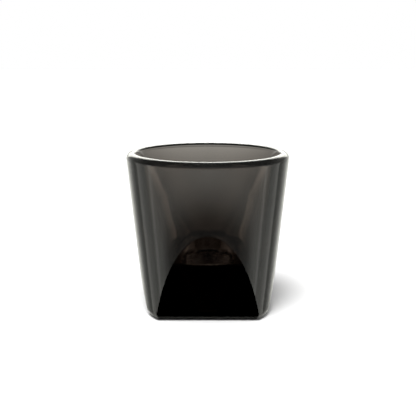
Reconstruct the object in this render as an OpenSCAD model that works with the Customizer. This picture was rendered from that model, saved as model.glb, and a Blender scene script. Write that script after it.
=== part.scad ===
// Pressed glass tumbler with three flat facets. Millimetres, +Z up.
// The foot stands on Z = 0, the glass's axis is the Z axis, and one facet faces -Y.
// The outside is a plain cone that widens from a thick base to a round rim. Three flat facets,
// evenly spaced, slope in towards the foot. Where a facet cuts the cone, its edge is an arch,
// and between the facets the cone is left as a rounded corner.

/* [Body] */
// Diameter of the cone at the rim plane
rim_d = 84; // [83:0.5:96]
// Diameter of the cone at the foot plane, before the facets cut it
base_d = 66.5; // [60:0.5:74]
// Height from the foot to the rim
body_h = 84; // [72:0.2:100]

/* [Facets] */
// Number of flat facets around the foot
facet_count = 3; // [3:1:6]
// Distance from the axis to each facet at the foot plane
facet_apothem = 20.1; // [18:0.1:26]
// Slope of each facet away from the vertical, in degrees
facet_tilt = 20.7; // [16:0.1:26]

/* [Foot] */
// Radius of the round edge between the wall and the foot
foot_round = 4.5; // [1:0.1:6]
// Diameter of the shallow hollow under the foot
under_d = 24; // [10:0.5:28]
// Depth of the shallow hollow under the foot
under_depth = 0.6; // [0.2:0.1:2]

/* [Bowl] */
// Inside diameter where the wall would meet the rim plane without the rounded edge
mouth_d = 74.2; // [66:0.2:75.6]
// Inward slope of the bowl's wall, in mm of radius for each mm of depth
wall_slope = 0.3; // [0.15:0.01:0.4]
// Thickness of solid glass under the bowl
base_thick = 31; // [14:0.5:36]
// Radius of the curve that joins the bowl's wall to its floor
bowl_round = 2.5; // [1:0.5:18]

/* [Rim] */
// Radius of the rim's outer edge
rim_outer_round = 2.8; // [0.6:0.1:3.5]
// Radius of the rim's inner edge
rim_inner_round = 1.1; // [0.4:0.1:2.2]

/* [Hidden] */
$fn = 96;

glass_rgba = [0.28, 0.26, 0.24, 0.62];
over = 2;            // how far a cutting shape runs past what it cuts
cross = 0.001;       // how far a round edge stands past its straight sides, so that they truly cross
wide = rim_d * 2;    // a size that is larger than the whole glass

rim_r = rim_d / 2;
base_r = base_d / 2;
mouth_r = mouth_d / 2;
side_slope = (rim_r - base_r) / body_h;
side_lean = atan(side_slope);
facet_slope = tan(facet_tilt);
wall_lean = atan(wall_slope);

// The bowl's curve touches its wall and its floor.
bowl_z = base_thick + bowl_round;
bowl_r = mouth_r - wall_slope * (body_h - bowl_z) - bowl_round / cos(wall_lean);
bowl_touch = [bowl_r, bowl_z] + bowl_round * [cos(wall_lean), -sin(wall_lean)];

function side_r(z) = base_r + side_slope * z;
function facet_r(z) = facet_apothem + facet_slope * z;
function wall_r(z) = mouth_r - wall_slope * (body_h - z);

// A rounded edge is part of a circle that touches both of the edge's sides. These give the
// circle's centre, and the point where it touches the sloped side.
function foot_centre(d, lean, r) = [d + tan(lean) * r - r / cos(lean), r];
function foot_touch(d, lean, r) = foot_centre(d, lean, r) + r * [cos(lean), -sin(lean)];
function rim_centre(r) = [side_r(body_h - r) - r / cos(side_lean), body_h - r];
function rim_touch(r) = rim_centre(r) + r * [cos(side_lean), -sin(side_lean)];
function lip_centre(r) = [wall_r(body_h - r) + r / cos(wall_lean), body_h - r];
function lip_touch(r) = lip_centre(r) + r * [-cos(wall_lean), sin(wall_lean)];

// Half of the cone's section, with the foot's edge and the rim's outer edge rounded.
module cone_section() {
    foot_c = foot_centre(base_r, side_lean, foot_round);
    rim_c = rim_centre(rim_outer_round);
    polygon([[0, 0], [foot_c.x, 0], foot_touch(base_r, side_lean, foot_round),
             rim_touch(rim_outer_round), [rim_c.x, body_h], [0, body_h]]);
    translate(foot_c) circle(r = foot_round + cross);
    translate(rim_c) circle(r = rim_outer_round + cross);
}

// Half of the bowl's section: a sloped wall, a curve and a flat floor, open above the rim.
module bowl_section() {
    lip_c = lip_centre(rim_inner_round);
    difference() {
        polygon([[0, base_thick], [bowl_r, base_thick], [bowl_r, bowl_z],
                 bowl_touch, lip_touch(rim_inner_round), [lip_c.x, body_h],
                 [lip_c.x, body_h + over], [0, body_h + over]]);
        translate(lip_c) circle(r = rim_inner_round + cross);
    }
    intersection() {
        translate([bowl_r, bowl_z]) circle(r = bowl_round + cross);
        translate([0, base_thick - over]) square([wide, bowl_round + over]);
    }
}

// The shallow hollow under the foot, with a sloped edge.
module under_section()
    polygon([[0, -over], [under_d / 2 + over, -over], [under_d / 2, 0],
             [under_d / 2 - under_depth * 2, under_depth], [0, under_depth]]);

// Everything outside one facet, from below the foot to the rim, with the foot's edge rounded.
module facet_cut() {
    c = foot_centre(facet_apothem, facet_tilt, foot_round);
    rotate([90, 0, -90])
        linear_extrude(height = wide, center = true)
            difference() {
                polygon([[c.x, -over], [c.x, 0], foot_touch(facet_apothem, facet_tilt, foot_round),
                         [facet_r(body_h), body_h], [wide, body_h], [wide, -over]]);
                translate(c) circle(r = foot_round + cross);
            }
}

module glass_body()
    color(glass_rgba)
        difference() {
            rotate_extrude() cone_section();
            for (i = [0 : facet_count - 1])
                rotate([0, 0, i * 360 / facet_count]) facet_cut();
            rotate_extrude() bowl_section();
            rotate_extrude() under_section();
        }

glass_body();
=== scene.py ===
"""Smoke-grey glass tumbler on a white studio floor.

Metres, in the CAD part's frame: +Z up, the glass's axis is the Z axis, and one facet faces -Y.
The glass is built again as one fine, closed surface of the CAD part's shape, because clear glass
shows every flat in its mesh. Apart from ARRIS, its sizes are the CAD part's, in millimetres.
"""

import math

import bpy
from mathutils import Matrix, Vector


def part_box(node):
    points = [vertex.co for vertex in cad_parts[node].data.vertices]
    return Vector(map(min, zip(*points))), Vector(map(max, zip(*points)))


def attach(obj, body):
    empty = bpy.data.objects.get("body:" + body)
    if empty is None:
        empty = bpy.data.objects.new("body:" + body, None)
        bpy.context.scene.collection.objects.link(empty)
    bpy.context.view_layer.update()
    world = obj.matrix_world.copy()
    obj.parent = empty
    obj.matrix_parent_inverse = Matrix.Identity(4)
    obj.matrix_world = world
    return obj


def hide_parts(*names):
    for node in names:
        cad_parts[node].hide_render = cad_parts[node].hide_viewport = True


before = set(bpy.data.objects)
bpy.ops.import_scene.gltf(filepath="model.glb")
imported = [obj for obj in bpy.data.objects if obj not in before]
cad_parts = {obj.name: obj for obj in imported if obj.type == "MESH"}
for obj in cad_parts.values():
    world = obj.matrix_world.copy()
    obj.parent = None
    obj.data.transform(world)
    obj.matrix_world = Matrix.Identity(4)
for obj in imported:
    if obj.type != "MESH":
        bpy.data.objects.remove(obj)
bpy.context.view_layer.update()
glass_low, glass_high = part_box("glass_body")

MM = 0.001

# Outside, in millimetres
HEIGHT = glass_high.z / MM
RIM_R = 42.0             # of the cone at the rim plane
FOOT_R = 33.25
FACETS = 3
FACET_FOOT = 20.1        # from the axis to each facet at the foot plane
FACET_TILT = math.radians(20.7)
FOOT_ROUND = 4.5
HOLLOW_R = 12.0          # the shallow hollow under the foot
HOLLOW_DEPTH = 0.6
ARRIS = 0.25             # width over which a facet's edge is softened; the CAD part's is sharp

# Inside, in millimetres
MOUTH_R = 37.1           # where the bowl's wall would meet the rim plane
WALL_SLOPE = 0.3
FLOOR_Z = 31.0
BOWL_ROUND = 2.5
RIM_OUTER_ROUND = 2.8
RIM_INNER_ROUND = 1.1

SIDE_SLOPE = (RIM_R - FOOT_R) / HEIGHT
SIDE_LEAN = math.atan(SIDE_SLOPE)
WALL_LEAN = math.atan(WALL_SLOPE)
FACET_SLOPE = math.tan(FACET_TILT)
APEX_Z = (FOOT_R - FACET_FOOT) / (FACET_SLOPE - SIDE_SLOPE)   # top of a facet's arch
SECTOR = 2 * math.pi / FACETS


def side_r(z):
    """Radius of the plain cone."""
    return FOOT_R + SIDE_SLOPE * z


def wall_r(z):
    """Radius of the bowl's straight wall."""
    return MOUTH_R - WALL_SLOPE * (HEIGHT - z)


def footed(z, foot, slope):
    """Distance from the axis of a straight sloped side whose foot edge is rounded."""
    lean = math.atan(slope)
    centre = foot + slope * FOOT_ROUND - FOOT_ROUND / math.cos(lean)
    if z >= FOOT_ROUND * (1 - math.sin(lean)):
        return foot + slope * z
    return centre + math.sqrt(max(FOOT_ROUND ** 2 - (FOOT_ROUND - z) ** 2, 0))


def soft_min(a, b, k):
    """The smaller of a and b, with the step between them rounded over k."""
    h = min(max(0.5 + 0.5 * (b - a) / k, 0), 1)
    return b + (a - b) * h - k * h * (1 - h)


def outer_r(z, azimuth):
    """Outside radius below the rim's round edge. Azimuth is measured from the middle of a facet."""
    cone = footed(z, FOOT_R, SIDE_SLOPE)
    flat = footed(z, FACET_FOOT, FACET_SLOPE) / math.cos(azimuth)
    bend = math.hypot(FACET_SLOPE / math.cos(azimuth) - SIDE_SLOPE, math.tan(azimuth))
    return soft_min(cone, flat, ARRIS * bend)


# The mesh is a grid of rings and columns. The columns crowd around the facet's edge, so that
# its arch stays crisp. Above the arch they keep the places that they have at its top.

CROWD = math.radians(3)       # half the width of the crowded part
LEAST_EDGE = 1.6 * CROWD      # least azimuth of the facet's edge, so that the crowded part fits
CROWD_EVEN = 0.3              # share of even spacing in it; the rest bunches up at the edge
EVEN_COLUMNS = 20             # on each side of the crowded part, in half a sector
CROWDED_COLUMNS = 26


def edge_azimuth(z):
    """Half the angle that a facet takes up at height z, kept wide enough for the crowded part."""
    cosine = (FACET_FOOT + FACET_SLOPE * z) / side_r(z)
    return max(math.acos(min(cosine, 1)), LEAST_EDGE)


def steps(a, b, n):
    """n values after a, up to and including b, evenly spaced."""
    return [a + (b - a) * (i + 1) / n for i in range(n)]


def half_sector(z):
    """Azimuths of the columns from the middle of a facet to the middle of the next corner."""
    edge = edge_azimuth(z)
    spread = [0.0] + steps(0, edge - CROWD, EVEN_COLUMNS)
    for t in steps(-1, 1, CROWDED_COLUMNS):
        spread.append(edge + CROWD * (CROWD_EVEN * t + (1 - CROWD_EVEN) * t ** 3))
    return spread + steps(edge + CROWD, SECTOR / 2, EVEN_COLUMNS)


def columns(z):
    """Pairs for the whole turn: the column's azimuth from -Y, and from the middle of its facet."""
    half = half_sector(z)
    sector = [-a for a in half[:0:-1]] + half[:-1]
    return [(i * SECTOR + a, a) for i in range(FACETS) for a in sector]


def ring(z, radius_of):
    """One ring of points at height z. radius_of gives the radius at an azimuth from a facet's middle."""
    points = []
    for turn, azimuth in columns(min(z, APEX_Z)):
        r = radius_of(azimuth)
        points.append((r * math.sin(turn) * MM, -r * math.cos(turn) * MM, z * MM))
    return points


def round_ring(z, r):
    return ring(z, lambda azimuth: r)


def point(centre, radius, angle):
    """The point (r, z) at an angle, in radians, on a circle in the section."""
    return (centre[0] + radius * math.cos(angle), centre[1] + radius * math.sin(angle))


def arc(centre, radius, start, end, n):
    """Round rings along part of a circle in the section, between two angles in radians."""
    places = [point(centre, radius, angle) for angle in steps(start, end, n)]
    return [round_ring(z, r) for r, z in places]


def straight(start, end, n, margin=0.25):
    """Round rings along a straight line, with one ring near each end to keep the shading true."""
    near = margin / math.dist(start, end)
    rings = []
    for t in [near] + steps(near, 1 - near, n) + [1.0]:
        r, z = (s + (e - s) * t for s, e in zip(start, end))
        rings.append(round_ring(z, r))
    return rings


def rim_centre():
    """Centre of the rim's outer round edge, as (r, z)."""
    z = HEIGHT - RIM_OUTER_ROUND
    return (side_r(z) - RIM_OUTER_ROUND / math.cos(SIDE_LEAN), z)


def lip_centre():
    """Centre of the rim's inner round edge, as (r, z)."""
    z = HEIGHT - RIM_INNER_ROUND
    return (wall_r(z) + RIM_INNER_ROUND / math.cos(WALL_LEAN), z)


def bowl_centre():
    """Centre of the round corner between the bowl's wall and its floor, as (r, z)."""
    z = FLOOR_Z + BOWL_ROUND
    return (wall_r(z) - BOWL_ROUND / math.cos(WALL_LEAN), z)


# Each part of the surface is a list of rings, from the middle of the underside, up the outside,
# over the rim and down to the middle of the bowl's floor.

DISC_PLACES = (0.05, 0.3, 0.6, 0.9, 0.98)     # rings on a flat disc, as shares of its radius
BEVEL_PLACES = (0.1, 0.5, 0.9, 1.0)           # rings on the hollow's sloped edge
SOLE_PLACES = (0.03, 0.25, 0.5, 0.75, 0.97)   # rings on the face that stands on the table
CREST_PLACES = (0.2, 0.8, 1.0)                # rings on the rim's flat crest
FOOT_ANGLES = range(0, 88, 4)                 # rings on the foot's round edge, in degrees from below
FACET_RINGS = 90
ARCH_RINGS = 22
ARCH_BELOW = 4.0                              # the arch's rings start this far below its top
ARCH_ABOVE = 1.5                              # and end this far above it
CONE_RINGS = 12
CONE_MARGIN = 0.5                             # from the cone's last ring to the rim's round edge
RIM_RINGS = 24
LIP_RINGS = 22
WALL_RINGS = 6
CORNER_RINGS = 20


def underside():
    """Rings from the middle of the hollow out to the foot's round edge."""
    bevel = 2 * HOLLOW_DEPTH
    edge = HOLLOW_R - bevel
    rings = [round_ring(HOLLOW_DEPTH, edge * t) for t in DISC_PLACES + (1.0,)]
    rings += [round_ring(HOLLOW_DEPTH * (1 - t), edge + bevel * t) for t in BEVEL_PLACES]
    for t in SOLE_PLACES:
        rings.append(ring(0, lambda a, t=t: HOLLOW_R + (outer_r(0, a) - HOLLOW_R) * t))
    return rings


def outside():
    """Rings up the foot's round edge, the facets and the cone."""
    arch_start, arch_end = APEX_Z - ARCH_BELOW, APEX_Z + ARCH_ABOVE
    levels = [FOOT_ROUND * (1 - math.cos(math.radians(a))) for a in FOOT_ANGLES]
    levels += steps(FOOT_ROUND, arch_start, FACET_RINGS)
    levels += steps(arch_start, arch_end, ARCH_RINGS)
    levels += steps(arch_end, HEIGHT - RIM_OUTER_ROUND - CONE_MARGIN, CONE_RINGS)
    return [ring(z, lambda a, z=z: outer_r(z, a)) for z in levels]


def rim():
    """Rings over the rim's outer edge, its flat crest and its inner edge."""
    outer, lip = rim_centre(), lip_centre()
    r, z = point(outer, RIM_OUTER_ROUND, -SIDE_LEAN)
    rings = [round_ring(z, r)]
    rings += arc(outer, RIM_OUTER_ROUND, -SIDE_LEAN, math.pi / 2, RIM_RINGS)
    rings += [round_ring(HEIGHT, outer[0] + (lip[0] - outer[0]) * t) for t in CREST_PLACES]
    return rings + arc(lip, RIM_INNER_ROUND, math.pi / 2, math.pi - WALL_LEAN, LIP_RINGS)


def bowl():
    """Rings down the bowl's wall, round its corner and in across its floor."""
    corner = bowl_centre()
    top = point(lip_centre(), RIM_INNER_ROUND, math.pi - WALL_LEAN)
    rings = straight(top, point(corner, BOWL_ROUND, -WALL_LEAN), WALL_RINGS)
    rings += arc(corner, BOWL_ROUND, -WALL_LEAN, -math.pi / 2, CORNER_RINGS)
    return rings + [round_ring(FLOOR_Z, corner[0] * t) for t in reversed(DISC_PLACES)]


def closed_grid(name, rings, first_z, last_z):
    """A closed mesh through the rings, with a point on the axis at each end."""
    count = len(rings[0])
    points = [p for one in rings for p in one] + [(0, 0, first_z * MM), (0, 0, last_z * MM)]
    first, last = len(points) - 2, len(points) - 1
    faces = []
    for i in range(len(rings) - 1):
        for j in range(count):
            k = (j + 1) % count
            faces.append((i * count + j, i * count + k, (i + 1) * count + k, (i + 1) * count + j))
    top = (len(rings) - 1) * count
    for j in range(count):
        k = (j + 1) % count
        faces.append((first, k, j))
        faces.append((last, top + j, top + k))
    mesh = bpy.data.meshes.new(name)
    mesh.from_pydata(points, [], faces)
    mesh.validate()
    mesh.shade_smooth()
    piece = bpy.data.objects.new(name, mesh)
    bpy.context.scene.collection.objects.link(piece)
    return piece


# Materials

class Nodes:
    """Short helpers to build one node tree."""

    def __init__(self, owner):
        owner.use_nodes = True
        self.tree = owner.node_tree
        self.tree.nodes.clear()

    def add(self, kind, **settings):
        node = self.tree.nodes.new(kind)
        for key, value in settings.items():
            setattr(node, key, value)
        return node

    def feed(self, socket, value):
        """Sets a socket to a number, or links another node's output to it."""
        if isinstance(value, bpy.types.NodeSocket):
            self.tree.links.new(value, socket)
        else:
            socket.default_value = value

    def math(self, operation, *values):
        node = self.add("ShaderNodeMath", operation=operation)
        for socket, value in zip(node.inputs, values):
            self.feed(socket, value)
        return node.outputs[0]

    def step(self, value, start, end):
        """0 below start, 1 above end, smooth between them."""
        node = self.add("ShaderNodeMapRange", interpolation_type="SMOOTHSTEP")
        self.feed(node.inputs["Value"], value)
        self.feed(node.inputs["From Min"], start)
        self.feed(node.inputs["From Max"], end)
        return node.outputs[0]

    def mix(self, factor, a, b):
        node = self.add("ShaderNodeMix", data_type="FLOAT")
        for index, value in ((0, factor), (2, a), (3, b)):
            self.feed(node.inputs[index], value)
        return node.outputs[0]


def smoke_glass():
    """Polished glass that is smoke grey all through."""
    material = bpy.data.materials.new("smoke_glass")
    nodes = Nodes(material)
    surface = nodes.add("ShaderNodeBsdfPrincipled")
    surface.inputs["Base Color"].default_value = (1, 1, 1, 1)
    surface.inputs["Roughness"].default_value = 0.0
    surface.inputs["IOR"].default_value = 1.52
    surface.inputs["Transmission Weight"].default_value = 1.0
    smoke = nodes.add("ShaderNodeVolumeAbsorption")
    smoke.inputs["Color"].default_value = (0.123, 0.05, 0.0, 1)
    smoke.inputs["Density"].default_value = 171.0
    output = nodes.add("ShaderNodeOutputMaterial")
    nodes.feed(output.inputs["Surface"], surface.outputs[0])
    nodes.feed(output.inputs["Volume"], smoke.outputs[0])
    return material


def white_paper():
    material = bpy.data.materials.new("white_paper")
    nodes = Nodes(material)
    paper = nodes.add("ShaderNodeBsdfPrincipled")
    paper.inputs["Base Color"].default_value = (0.9, 0.9, 0.9, 1)
    paper.inputs["Roughness"].default_value = 0.8
    paper.inputs["Specular IOR Level"].default_value = 0.0
    output = nodes.add("ShaderNodeOutputMaterial")
    nodes.feed(output.inputs["Surface"], paper.outputs[0])
    return material


# The studio

# The room is what the glass mirrors and refracts. It is built from bands, bottom to top. Each
# band is (start, end, stops): it fades in over the band below it between the elevations start and
# end, and its stops are (azimuth, brightness), with azimuth 0 in front of the glass and 180
# behind it. The left and the right side are alike. All angles are in degrees.

# Both sides of the room: a narrow bright strip at 91, a fairly even stretch from 96 to 119, a dark
# gap around 127, and a stretch that grows brighter towards the back
SIDES = ((80, .95), (87, 1.05), (91, 1.4), (96, .75), (108, .75), (114, .88), (119, .95), (121, .42),
         (127, .33), (136, .52), (143, .8), (150, 1.05), (158, 1.3), (163, 1.3))
ROOM_BANDS = (
    # Straight down
    (-91, -90, ((0, .25), (180, .25))),
    # Steeply down: lit at the sides, dark in front and behind
    (-84, -70, ((0, 0), (45, 0), (75, .6), (145, .6), (160, .03), (180, 0))),
    # Less steeply down: dark in front
    (-34, -26, ((0, .12), (50, .2), (66, .4)) + SIDES + ((165.5, .25), (170, .4), (174, .6), (180, .45))),
    # Above that: bright in front, dim behind
    (-24.7, -20.2, ((0, 1.5), (50, 1.0), (66, .9)) + SIDES + ((165.5, .3), (173, .35), (180, .25))),
    # Just below the horizon: bright behind
    (-17, -9, ((0, .4), (66, .6)) + SIDES + ((168, .9), (173, 1.0), (177, .85), (180, .76))),
    # The horizon: a dark gap straight behind
    (-3, -1, ((0, .4), (124, .35), (145, .9), (160, 1.3), (172, 1.0), (176, .3), (180, .2))),
    # Above the horizon: a bright panel behind the glass
    (6.0, 7.4, ((0, .6), (90, .2), (124, .3), (140, .35), (150, .6), (157, 2.8), (180, 2.8))),
    # Overhead: dim, with a lighter strip at 158
    (22, 38, ((0, .3), (150, .15), (158, 1.0), (166, .5), (180, .35))),
)
ROOM_PEAK = 3.0                   # no stop is brighter; the ramps hold shares of this
ROOM_TINT = (1.0, 1.0, 0.93, 1)
AMBIENT = 0.34                    # even light on the floor


def room_ramp(nodes, azimuth, stops):
    """One band's brightness. The azimuth that is fed in runs from 0 in front to 1 behind."""
    ramp = nodes.add("ShaderNodeValToRGB")
    nodes.feed(ramp.inputs[0], azimuth)
    elements = ramp.color_ramp.elements
    while len(elements) < len(stops):
        elements.new(0.5)
    for element, (degrees, value) in zip(elements, stops):
        element.position = degrees / 180
        element.color = (value / ROOM_PEAK,) * 3 + (1,)
    return nodes.math("MULTIPLY", ramp.outputs[0], ROOM_PEAK)


def studio_world():
    """White to the camera, an even light to the floor, and a studio room to the glass."""
    world = bpy.data.worlds.new("studio")
    nodes = Nodes(world)
    direction = nodes.add("ShaderNodeTexCoord").outputs["Generated"]
    split = nodes.add("ShaderNodeSeparateXYZ")
    nodes.feed(split.inputs[0], direction)
    x, y, z = split.outputs
    turn = nodes.math("ARCTAN2", nodes.math("ABSOLUTE", x), nodes.math("MULTIPLY", y, -1.0))
    azimuth = nodes.math("DIVIDE", turn, math.pi)
    elevation = nodes.math("DEGREES", nodes.math("ARCSINE", z))
    room = 0.0
    for start, end, stops in ROOM_BANDS:
        room = nodes.mix(nodes.step(elevation, start, end), room, room_ramp(nodes, azimuth, stops))
    mirrored = nodes.add("ShaderNodeBackground")
    mirrored.inputs["Color"].default_value = ROOM_TINT
    nodes.feed(mirrored.inputs["Strength"], room)
    path = nodes.add("ShaderNodeLightPath")
    plain = nodes.add("ShaderNodeBackground")
    plain.inputs["Color"].default_value = (1, 1, 1, 1)
    nodes.feed(plain.inputs["Strength"], nodes.mix(path.outputs["Is Camera Ray"], AMBIENT, 1.0))
    light = nodes.add("ShaderNodeMixShader")
    seen = nodes.math("MAXIMUM", path.outputs["Is Camera Ray"], path.outputs["Is Diffuse Ray"])
    nodes.feed(light.inputs[0], seen)
    nodes.feed(light.inputs[1], mirrored.outputs[0])
    nodes.feed(light.inputs[2], plain.outputs[0])
    output = nodes.add("ShaderNodeOutputWorld")
    nodes.feed(output.inputs["Surface"], light.outputs[0])
    bpy.context.scene.world = world


def paper_floor(size=8.0, drop=0.0001):
    """A wide white floor just under the foot."""
    h = size / 2
    mesh = bpy.data.meshes.new("floor")
    mesh.from_pydata([(-h, -h, 0), (h, -h, 0), (h, h, 0), (-h, h, 0)], [], [(0, 1, 2, 3)])
    mesh.materials.append(white_paper())
    floor = bpy.data.objects.new("floor", mesh)
    floor.location.z = glass_low.z - drop
    floor.visible_glossy = False
    floor.visible_transmission = False
    bpy.context.scene.collection.objects.link(floor)


def soft_key(elevation=64, azimuth=-14, spread=26, strength=3.9):
    """A wide soft light, high up in front and a little to the left, that lights the whole floor alike."""
    light = bpy.data.lights.new("key", "SUN")
    light.angle = math.radians(spread)
    light.energy = strength
    key = bpy.data.objects.new("key", light)
    key.rotation_euler = (math.radians(90 - elevation), 0, math.radians(azimuth))
    key.visible_glossy = False
    key.visible_transmission = False
    bpy.context.scene.collection.objects.link(key)


def photo_camera(distance=0.4115, height=0.1378, pitch=11.45, lens=69.8, shift=0.0005):
    """In front of the facet that faces -Y, looking a little down."""
    data = bpy.data.cameras.new("camera")
    data.lens = lens
    data.sensor_width = 36
    data.shift_x = shift
    data.clip_start = 0.01
    data.clip_end = 50
    camera = bpy.data.objects.new("camera", data)
    camera.location = (0, -distance, height)
    camera.rotation_euler = (math.radians(90 - pitch), 0, 0)
    bpy.context.scene.collection.objects.link(camera)
    bpy.context.scene.camera = camera


photo_camera()
studio_world()
paper_floor()
soft_key()

glass = closed_grid("tumbler", underside() + outside() + rim() + bowl(), HOLLOW_DEPTH, FLOOR_Z)
glass.data.materials.append(smoke_glass())
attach(glass, "root")
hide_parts("glass_body")

scene = bpy.context.scene
scene.view_settings.view_transform = "Standard"
scene.cycles.use_denoising = True
scene.cycles.max_bounces = 24
scene.cycles.transmission_bounces = 24
scene.cycles.glossy_bounces = 12
